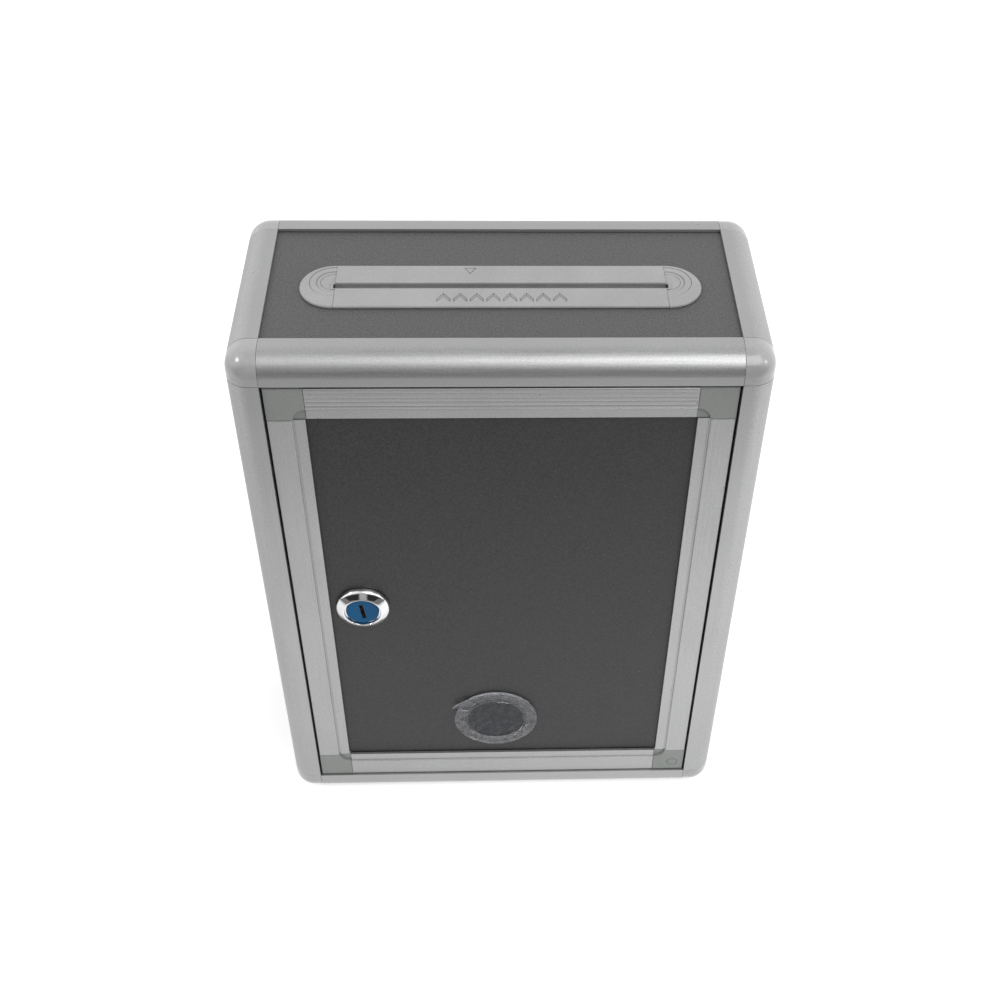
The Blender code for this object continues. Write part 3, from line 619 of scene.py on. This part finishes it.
def case_section(door_side):
    """Section of a case rail. X and Y run inwards from its two outer faces."""
    outline = [(FACE, 0), *arc((ROUND, ROUND), ROUND, 270, 180), (0, FACE), *groove(False)]
    if door_side:
        return [*outline, (FACE, FACE)]
    inner = LIP + GROOVE + LIP
    return [*outline, (inner, FACE), (inner, WEB), (WEB, inner), (FACE, inner), *groove(True)]


def add_case_rail(materials, node, first, second, door_side=False):
    matrix, length, axis = section_place(node, first, second)
    rail = extruded(f"{node}_skin", [case_section(door_side)], length + 2 * (GAP - SEAM), matrix)
    use(soften(rail), node, "case", materials[axis])


def add_case_rails(materials):
    for z_name, up in (("bottom", 1), ("top", -1)):
        add_case_rail(materials, f"rail_front_{z_name}", (0, 0, up), (0, 1, 0), True)
        add_case_rail(materials, f"rail_rear_{z_name}", (0, 0, up), (0, -1, 0))
        for x_name, side in (("left", -1), ("right", 1)):
            add_case_rail(materials, f"rail_{x_name}_{z_name}", (-side, 0, 0), (0, 0, up))
    for x_name, side in (("left", -1), ("right", 1)):
        add_case_rail(materials, f"post_front_{x_name}", (-side, 0, 0), (0, 1, 0), True)
        add_case_rail(materials, f"post_rear_{x_name}", (-side, 0, 0), (0, -1, 0))


def corner_mesh():
    """A ball corner with its outer point at the origin and its body towards +X +Y +Z."""
    bm = bmesh.new()
    bmesh.ops.create_cube(bm, size=FACE)
    bmesh.ops.translate(bm, vec=(FACE / 2,) * 3, verts=bm.verts)
    outer = min(bm.verts, key=lambda vert: vert.co.length)
    bmesh.ops.bevel(
        bm,
        geom=list(outer.link_edges),
        offset=ROUND,
        segments=ARC,
        profile=0.5,
        affect="EDGES",
        clamp_overlap=False,
    )
    return bm


def add_corners(materials):
    low, high = CAD_BOX[0].copy(), CAD_BOX[1]
    low.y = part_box("post_front_left")[0].y
    for z_name, z, up in (("bottom", low.z, 1), ("top", high.z, -1)):
        for y_name, y, inward in (("front", low.y, 1), ("rear", high.y, -1)):
            for x_name, x, side in (("left", low.x, 1), ("right", high.x, -1)):
                node = f"corner_{y_name}_{x_name}_{z_name}"
                place = Matrix.Translation((x, y, z)) @ Matrix.Diagonal((side, inward, up, 1))
                ball = from_bmesh(f"{node}_skin", corner_mesh(), place)
                use(soften(ball, BALL_EDGE), node, "case", materials["corner"])


# Slot trim


def bar_section():
    """Section of a trim bar. X runs away from the slot's middle and Y up from the trim's top."""
    inner, outer = SLOT_WIDTH / 2, TRIM_WIDTH / 2
    return [
        *arc((inner + BAR_EDGE, -BAR_EDGE), BAR_EDGE, 90, 180, 4),
        (inner, -TRIM_THICK),
        (inner + UNDERCUT, -TRIM_THICK - UNDERCUT / 2),
        (inner + UNDERCUT, -LEG_DEPTH),
        (inner + LEG, -LEG_DEPTH),
        (inner + LEG, -TRIM_THICK),
        (outer, -TRIM_THICK),
        *arc((outer - TRIM_EDGE, -TRIM_EDGE), TRIM_EDGE, 0, 90, 8),
    ]


def chevron_arms(size):
    """Anticlockwise outlines of the two arms of a chevron that points along local +Y."""
    half, low, thick = size / 2, -size * 0.22, size * 0.38
    past_middle = -size * 0.02
    right = [(past_middle, half - thick), (half, low - thick), (half, low), (past_middle, half)]
    left = [(-x, y) for x, y in reversed(right)]
    return [right, left]


def engrave(bar, outlines, at):
    """Sinks a shallow groove inside each outline and leaves its middle standing."""
    root = ENGRAVED * 1.3  # the middle is rooted a little below the groove's floor
    floor = Matrix.Translation(Vector(at) - Vector((0, 0, ENGRAVED)))
    below = Matrix.Translation(Vector(at) - Vector((0, 0, root)))
    for outline in outlines:
        cut(bar, prism("groove", outline, 2 * ENGRAVED, floor))
        join(bar, prism("core", inset(outline, GROOVE_WIDTH), root, below))


def trim_seam():
    """Where a trim bar meets a trim end, right of the slot's middle."""
    return (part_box("slot_end_right")[0].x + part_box("slot_bar_front")[1].x) / 2


def add_trim_bars(materials, slot_y, top):
    seam = trim_seam()
    for name, side in (("slot_bar_front", -1), ("slot_bar_rear", 1)):
        place = Matrix.Translation((0, slot_y, top))
        place @= Matrix(((0, 0, side, 0), (side, 0, 0, 0), (0, 1, 0, 0), (0, 0, 0, 1)))
        bar = extruded(f"{name}_skin", [bar_section()], 2 * (SLOT_HALF - GAP), place)
        for end in (-1, 1):
            near, far = sorted((end * (seam - SEAM / 2), end * 2 * seam))
            low = (near, slot_y - TRIM_WIDTH, top - TRIM_THICK - GAP)
            cut(bar, box("end_space", low, (far, slot_y + TRIM_WIDTH, top + TRIM_THICK)))
        if side > 0:
            engrave(bar, [ARROW], (ARROW_AT[0], slot_y + ARROW_AT[1], top))
        else:
            middle = (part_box(name)[0].y + slot_y) / 2 - SLOT_WIDTH / 4
            for i in range(CHEVRONS):
                x = (i - (CHEVRONS - 1) / 2) * CHEVRON_PITCH
                engrave(bar, chevron_arms(CHEVRON), (x, middle, top))
        use(soften(bar, TRIM_BAR_EDGE), name, "case", materials["trim"])


def outer_ring_section():
    """What the outer ring takes off a trim end: a groove, and a thin layer inside it."""
    return [
        (0, LEG),
        (OUTER_RING + 0.2 * MM, LEG),
        (OUTER_RING, -RING_DEPTH),
        (OUTER_RING - 0.15 * MM, -RING_DEPTH),
        (OUTER_RING - 0.4 * MM, -SINK),
        (0, -SINK),
    ]


def dish_section():
    """What the dish takes off: a groove round it and a floor that falls to its middle."""
    return [
        (0, LEG),
        (DISH + 0.2 * MM, LEG),
        (DISH, -DISH_EDGE_DEPTH),
        (DISH - 0.2 * MM, -DISH_EDGE_DEPTH),
        (DISH - 0.5 * MM, -DISH_EDGE_DEPTH / 2),
        (0, -DISH_DEPTH),
    ]


def inner_ring_section():
    return [
        (INNER_RING - 0.15 * MM, LEG),
        (INNER_RING + 0.3 * MM, LEG),
        (INNER_RING + 0.1 * MM, -INNER_RING_DEPTH),
        (INNER_RING - 0.1 * MM, -INNER_RING_DEPTH),
    ]


def add_trim_ends(materials, slot_y, top):
    outer = TRIM_WIDTH / 2
    edge = arc((outer - TRIM_EDGE, -TRIM_EDGE), TRIM_EDGE, 90, 0, 8)
    profile = [(0, 0), *edge, (outer, -TRIM_THICK), (0, -TRIM_THICK)]
    seam = trim_seam() + SEAM / 2
    for x_name, side in (("left", -1), ("right", 1)):
        node = f"slot_end_{x_name}"
        end = turned(f"{node}_skin", profile, Matrix.Translation((side * TRIM_END_X, slot_y, top)))
        across = sorted((0, side * seam))
        half = box(
            "half",
            (across[0], slot_y - TRIM_WIDTH, top - TRIM_WIDTH),
            (across[1], slot_y + TRIM_WIDTH, top + TRIM_WIDTH),
        )
        cut(end, half)
        wall = sorted((side * SLOT_HALF, side * (SLOT_HALF + LEG)))
        leg = box(
            "leg",
            (wall[0], slot_y - SLOT_WIDTH / 2, top - LEG_DEPTH),
            (wall[1], slot_y + SLOT_WIDTH / 2, top - TRIM_THICK * 0.9),
        )
        join(end, leg)
        open_end = sorted((side * (seam - LEG), side * SLOT_HALF))
        mouth = box(
            "mouth",
            (open_end[0], slot_y - SLOT_WIDTH / 2, top - LEG_DEPTH - LEG),
            (open_end[1], slot_y + SLOT_WIDTH / 2, top + LEG),
        )
        cut(end, mouth)
        centre = Matrix.Translation((side * RING_X, 0, top))
        cut(end, turned("outer_ring", outer_ring_section(), centre))
        dish = turned("dish", dish_section(), centre)
        lip_x = sorted((0, side * (SLOT_HALF + LIP_LENGTH)))
        lip = box(
            "lip",
            (lip_x[0], slot_y - SLOT_WIDTH / 2 - LIP_WIDTH, top - LEG),
            (lip_x[1], slot_y + SLOT_WIDTH / 2, top + 2 * LEG),
        )
        cut(end, cut(dish, lip))
        cut(end, turned("inner_ring", inner_ring_section(), centre, ring=True))
        weld(end)
        use(soften(end, 0), node, "case", materials["trim"])


# Door


def door_section(grow):
    """Section of a door profile. X runs inwards from the door's edge and Y back from its front face."""
    pocket_back = POCKET_FRONT + GROOVE
    step_floor = STEP + STEP_GROOVE
    front = arc((DOOR_EDGE - grow, DOOR_EDGE), DOOR_EDGE, 180, 270, 4)
    for x, depth in FLUTES:
        front += [(x - 3 * depth, 0), (x, depth), (x + 3 * depth, 0)]
    return [
        *front,
        (OUTER_BAND - 0.2 * MM, 0),
        (OUTER_BAND, 0.1 * MM),
        (OUTER_BAND + 0.25 * MM, step_floor),
        (OUTER_BAND + 0.7 * MM, step_floor),
        (OUTER_BAND + 0.85 * MM, STEP),
        (DOOR_BORDER, STEP),
        (DOOR_BORDER, POCKET_FRONT),
        (POCKET_END, POCKET_FRONT),
        (POCKET_END, pocket_back),
        (DOOR_BORDER - DOOR_WALL, pocket_back),
        (DOOR_BORDER - DOOR_WALL, pocket_back + DOOR_WALL),
        (TUBE, pocket_back + DOOR_WALL),
        (TUBE, DOOR_THICK),
        (-grow, DOOR_THICK),
    ]


def add_door_profiles(materials):
    sides = {
        "door_rail_bottom": (0, 0, 1),
        "door_rail_top": (0, 0, -1),
        "door_stile_left": (1, 0, 0),
        "door_stile_right": (-1, 0, 0),
    }
    for node, inward in sides.items():
        matrix, length, axis = section_place(node, inward, (0, 1, 0))
        grow = DOOR_GROW if axis == "x" else 0
        profile = extruded(f"{node}_skin", [door_section(grow)], length + 2 * (GAP - SEAM), matrix)
        use(soften(profile, DOOR_FINE_EDGE), node, "door", materials[axis])


def corner_plate(size):
    """Anticlockwise outline of a corner's raised face. A quarter circle is left out at its inner point."""
    bite = arc((size, size), CORNER_STEP, 270, 180, 14)
    return [(0, -DOOR_GROW), (size, -DOOR_GROW), *bite, (0, size)]


def add_door_corners(materials):
    low, high = door_box()
    size = corner_size()
    near = size - CORNER_STEP - CORNER_OVERLAP
    floor = [(near, near), (size, near), (size, size), (near, size)]
    floor_depth = STEP + CORNER_DROP
    for z_name, z, up in (("bottom", low.z, 1), ("top", high.z, -1)):
        for x_name, x, side in (("left", low.x, 1), ("right", high.x, -1)):
            node = f"door_corner_{x_name}_{z_name}"
            inwards = Matrix.Diagonal((side, 1, up, 1)) @ OUTWARD
            place = Matrix.Translation((x, low.y, z)) @ inwards
            block = plate(f"{node}_skin", corner_plate(size), DOOR_THICK, CORNER_ROUNDING, place)
            if node == "door_corner_right_bottom":
                mark = place @ Matrix.Translation((MARK_INSET, MARK_INSET, 0))
                cut(block, turned("mark", in_mm(MARK), mark, ring=True))
            behind = place @ Matrix.Translation((0, 0, -floor_depth))
            join(block, plate("floor", floor, DOOR_THICK - floor_depth, DOOR_FINE_EDGE, behind))
            use(soften(block, 0), node, "door", materials["connector"])


def door_box():
    """The door's front frame, from its edge to its edge."""
    top_low, top_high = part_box("door_rail_top")
    low = Vector((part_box("door_stile_left")[0].x, top_low.y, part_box("door_rail_bottom")[0].z))
    high = Vector((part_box("door_stile_right")[1].x, top_high.y, top_high.z))
    return low, high


def corner_size():
    """Face of a door corner, up to its gap to the stile."""
    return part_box("door_stile_left")[0].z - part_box("door_rail_bottom")[0].z - GAP


# Window


def add_window(materials):
    low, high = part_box("window_lens")
    flange = (high.x - low.x) / 2
    board_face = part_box("door_panel")[0].y
    place = Matrix.Translation(((low.x + high.x) / 2, board_face, (low.z + high.z) / 2)) @ OUTWARD
    disc = WINDOW_DISC
    rim = flange - WINDOW_RIM
    profile = [
        (0, 0.7 * MM),
        (disc - 0.4 * MM, 0.7 * MM),
        (disc, 0.76 * MM),
        (disc + 0.45 * MM, 1.15 * MM),
        (disc + 0.85 * MM, 1.5 * MM),
        (disc + 1.2 * MM, 1.58 * MM),
        (disc + 1.6 * MM, 1.5 * MM),
        (disc + 2.1 * MM, 1.28 * MM),
        (disc + 2.6 * MM, 1.25 * MM),
        (rim - 0.7 * MM, 1.25 * MM),
        (rim - 0.2 * MM, 1.36 * MM),
        (rim + 0.15 * MM, 1.5 * MM),
        (rim + 0.5 * MM, 1.5 * MM),
        (flange - 0.15 * MM, 1.3 * MM),
        (flange, 0.95 * MM),
        (flange, GAP),
        (WINDOW_BARREL, GAP),
        (WINDOW_BARREL, -WINDOW_DEPTH),
        (disc, -WINDOW_DEPTH),
        (disc, -0.8 * MM),
        (0, -0.8 * MM),
    ]
    lens = turned("window_lens_skin", profile, place)
    for path, height, radius in WINDOW_FLASH:
        join(lens, bead("flash", in_mm(path), height * MM, radius * MM, place))
    use(soften(lens, 0), "window_lens", "door", materials["clear"])


def bead(name, path, height, radius, matrix):
    """An uneven ridge of spilt plastic that follows a path of points and tapers at both ends."""
    bm = bmesh.new()
    sides = 7
    rings = []
    last = len(path) - 1
    for i, (x, y) in enumerate(path):
        before, after = Vector(path[max(i - 1, 0)]), Vector(path[min(i + 1, last)])
        along = (after - before).normalized()
        across = Vector((-along.y, along.x, 0))
        swell = 0.35 if i in (0, last) else 0.75 + 0.5 * (i % 2)
        ring = []
        for j in range(sides):
            angle = 2 * math.pi * j / sides
            offset = across * math.cos(angle) + Vector((0, 0, math.sin(angle) * 0.8))
            ring.append(bm.verts.new(Vector((x, y, height)) + offset * radius * swell))
        rings.append(ring)
    for lower, upper in zip(rings, rings[1:]):
        for j in range(sides):
            bm.faces.new((lower[j - 1], lower[j], upper[j], upper[j - 1]))
    bm.faces.new(rings[0])
    bm.faces.new(rings[-1])
    return from_bmesh(name, bm, matrix)


# Lock


def lock_place():
    low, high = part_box("lock_housing")
    board_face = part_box("door_panel")[0].y
    return Matrix.Translation(((low.x + high.x) / 2, board_face, (low.z + high.z) / 2)) @ OUTWARD


def add_lock(materials):
    place = lock_place()
    bezel = (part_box("lock_housing")[1].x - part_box("lock_housing")[0].x) / 2
    profile = [
        *in_mm(DOME),
        (bezel, 0.7 * MM),
        (bezel, GAP),
        (BARREL, GAP),
        (BARREL, -BARREL_END),
        (PLUG_BORE, -BARREL_END),
        (PLUG_BORE, CAP_FLOOR),
        (CAP_RECESS, CAP_FLOOR),
    ]
    housing = turned("lock_housing_skin", profile, place, ring=True)
    use(soften(housing, 0), "lock_housing", "door", materials["chrome"])
    cap_profile = in_mm([(0, CAP[0][1]), *CAP, (0, CAP[-1][1])])
    cap = turned("lock_cap_skin", cap_profile, place)
    half_x, half_y, height = KEY_SLOT
    tilt = place @ Matrix.Rotation(KEY_TILT, 4, "Z")
    cut(cap, box("key_slot", (-half_x, -half_y, 0), (half_x, half_y, height), tilt))
    use(soften(cap, CAP_EDGE), "lock_cap", "lock_core", materials["blue"])


# Pieces whose CAD shape is already right


def finish_cad_nodes(materials):
    finishes = {
        "board": ["bottom_panel", "left_panel", "right_panel", "back_panel", "door_panel"],
        # The top panel's lighter copy of the laminate is painted light.
        "painted_lit_top_board": ["top_panel"],
        "steel": [
            "hinge_pin_top",
            "hinge_pin_bottom",
            "lock_washer",
            "lock_nut",
            "lock_cam",
            "lock_cam_screw",
            "lock_keeper",
            "keeper_screw_upper",
            "keeper_screw_lower",
        ],
        "nylon": ["hinge_bush_top", "hinge_bush_bottom"],
        "brass": ["lock_plug"],
        "clear": ["window_ring"],
    }
    for key, nodes in finishes.items():
        for name in nodes:
            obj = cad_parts[name]
            obj.data.materials.clear()
            obj.data.materials.append(materials[key])
            obj.data.shade_smooth()
            obj.data.set_sharp_from_angle(angle=SMOOTH_ANGLE)


# Studio


def fall(tree, value, start, end):
    """A smooth fall from 1 at start to 0 at end."""
    node = add_node(tree, "ShaderNodeMapRange", {"interpolation_type": "SMOOTHSTEP"}, Value=value)
    for key, number in (("From Min", start), ("From Max", end), ("To Min", 1), ("To Max", 0)):
        node.inputs[key].default_value = number
    return node.outputs["Result"]


def math_node(tree, operation, first, second):
    return add_node(tree, "ShaderNodeMath", {"operation": operation}, i0=first, i1=second).outputs[0]


def add_floor():
    """A pale floor to the camera. To all other rays it is a painted glow, emission that stands in for the
    light it throws back on the object: the glow fades in front of it, as on a small table, and a painted
    shade dims it at the door's foot.
    """
    bm = bmesh.new()
    bmesh.ops.create_circle(bm, cap_ends=True, segments=128, radius=FLOOR_RADIUS)
    floor = from_bmesh("studio_floor", bm)
    material, tree, shader = new_material("studio_floor")
    grain = noise_at(tree, object_coordinates(tree), 60, 3)
    link(tree, blend(tree, grain, grey(0.88), grey(0.9)), shader.inputs["Base Color"])
    shader.inputs["Emission Color"].default_value = (1, 1, 1, 1)
    shader.inputs["Emission Strength"].default_value = FLOOR_GLOW
    shader.inputs["Roughness"].default_value = 0.9
    shader.inputs["Specular IOR Level"].default_value = 0.1
    parts = add_node(tree, "ShaderNodeSeparateXYZ", None, Vector=object_coordinates(tree))
    across = spread(tree, parts.outputs["X"], *FLOOR_LIGHT_SIDES, -FLOOR_SIDE, FLOOR_SIDE)
    table = fall(tree, parts.outputs["Y"], TABLE_START, TABLE_END)
    painted_foot_shade = spread(tree, parts.outputs["Y"], 1, FOOT_SHADE, *FOOT)
    lit = math_node(tree, "MULTIPLY", math_node(tree, "MULTIPLY", across, table), painted_foot_shade)
    lit = math_node(tree, "MAXIMUM", lit, FLOOR_LIGHT_FAR)
    # Painted glow seen only by rays that are not camera rays, with painted shade at the door's foot.
    painted_bounce_glow = add_node(tree, "ShaderNodeEmission", None, Strength=lit)
    path = add_node(tree, "ShaderNodeLightPath")
    mixed = add_node(tree, "ShaderNodeMixShader", None, i0=path.outputs["Is Camera Ray"])
    link(tree, painted_bounce_glow.outputs[0], mixed.inputs[1])
    link(tree, shader.outputs[0], mixed.inputs[2])
    link(tree, mixed.outputs[0], tree.nodes["Material Output"].inputs["Surface"])
    floor.data.materials.append(material)


def add_area(name, location, size, power):
    light = bpy.data.lights.new(name, "AREA")
    light.energy = power
    light.shape = "RECTANGLE"
    light.size, light.size_y = size
    lamp = bpy.data.objects.new(name, light)
    lamp.location = location
    aim = Vector(LIGHT_TARGET) - Vector(location)
    lamp.rotation_euler = aim.to_track_quat("-Z", "Y").to_euler()
    bpy.context.scene.collection.objects.link(lamp)


def add_world():
    """A soft surround: white to the camera, brightest at the sides, dim on top, and dark low in front."""
    world = bpy.data.worlds.new("studio")
    bpy.context.scene.world = world
    world.use_nodes = True
    tree = world.node_tree
    background = tree.nodes["Background"]
    place = add_node(tree, "ShaderNodeTexCoord")
    parts = add_node(tree, "ShaderNodeSeparateXYZ", None, Vector=place.outputs["Generated"])
    x, y, z = (parts.outputs[axis] for axis in "XYZ")
    side = math_node(tree, "ABSOLUTE", x, 0)
    sky = spread(tree, side, WORLD_BACK, WORLD_SIDE, 0, 1)
    sky = math_node(tree, "MULTIPLY", sky, spread(tree, z, 1, WORLD_TOP, *TOP_EDGE))
    raised = math_node(tree, "MULTIPLY", z, FRONT_RAISE)
    front = math_node(tree, "ADD", y, raised)
    low = spread(tree, side, *WORLD_FRONT, *FRONT_SIDES)
    open_sky = spread(tree, front, 0, 1, *FRONT_EDGE)
    shade = math_node(tree, "MAXIMUM", low, math_node(tree, "MULTIPLY", sky, open_sky))
    path = add_node(tree, "ShaderNodeLightPath")
    seen = add_node(tree, "ShaderNodeMix", {"data_type": "FLOAT"})
    link(tree, path.outputs["Is Camera Ray"], seen.inputs["Factor"])
    link(tree, shade, seen.inputs[2])
    seen.inputs[3].default_value = 1.0
    link(tree, seen.outputs[0], background.inputs["Strength"])
    background.inputs["Color"].default_value = (1, 1, 1, 1)


def add_camera():
    data = bpy.data.cameras.new("camera")
    data.lens = CAMERA_LENS
    data.sensor_width = SENSOR_WIDTH
    data.shift_x, data.shift_y = CAMERA_SHIFT
    data.clip_start = CLIP_START
    camera = bpy.data.objects.new("camera", data)
    camera.location = CAMERA_AT
    camera.rotation_euler = CAMERA_TURN
    bpy.context.scene.collection.objects.link(camera)
    bpy.context.scene.camera = camera


def add_studio():
    add_camera()
    add_floor()
    add_world()
    add_area("key", KEY_AT, KEY_SIZE, KEY_POWER)
    add_area("left", LEFT_AT, SPOT_SIZE, LEFT_POWER)
    add_area("right", RIGHT_AT, SPOT_SIZE, RIGHT_POWER)
    bpy.context.scene.view_settings.view_transform = "Standard"


def main():
    materials = make_materials()
    add_case_rails(materials)
    add_corners(materials)
    slot_low, slot_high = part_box("slot_bar_front")[1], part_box("slot_bar_rear")[0]
    slot_y = (slot_low.y + slot_high.y) / 2
    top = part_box("slot_bar_front")[1].z
    add_trim_bars(materials, slot_y, top)
    add_trim_ends(materials, slot_y, top)
    add_door_profiles(materials)
    add_door_corners(materials)
    add_window(materials)
    add_lock(materials)
    finish_cad_nodes(materials)
    add_studio()


main()
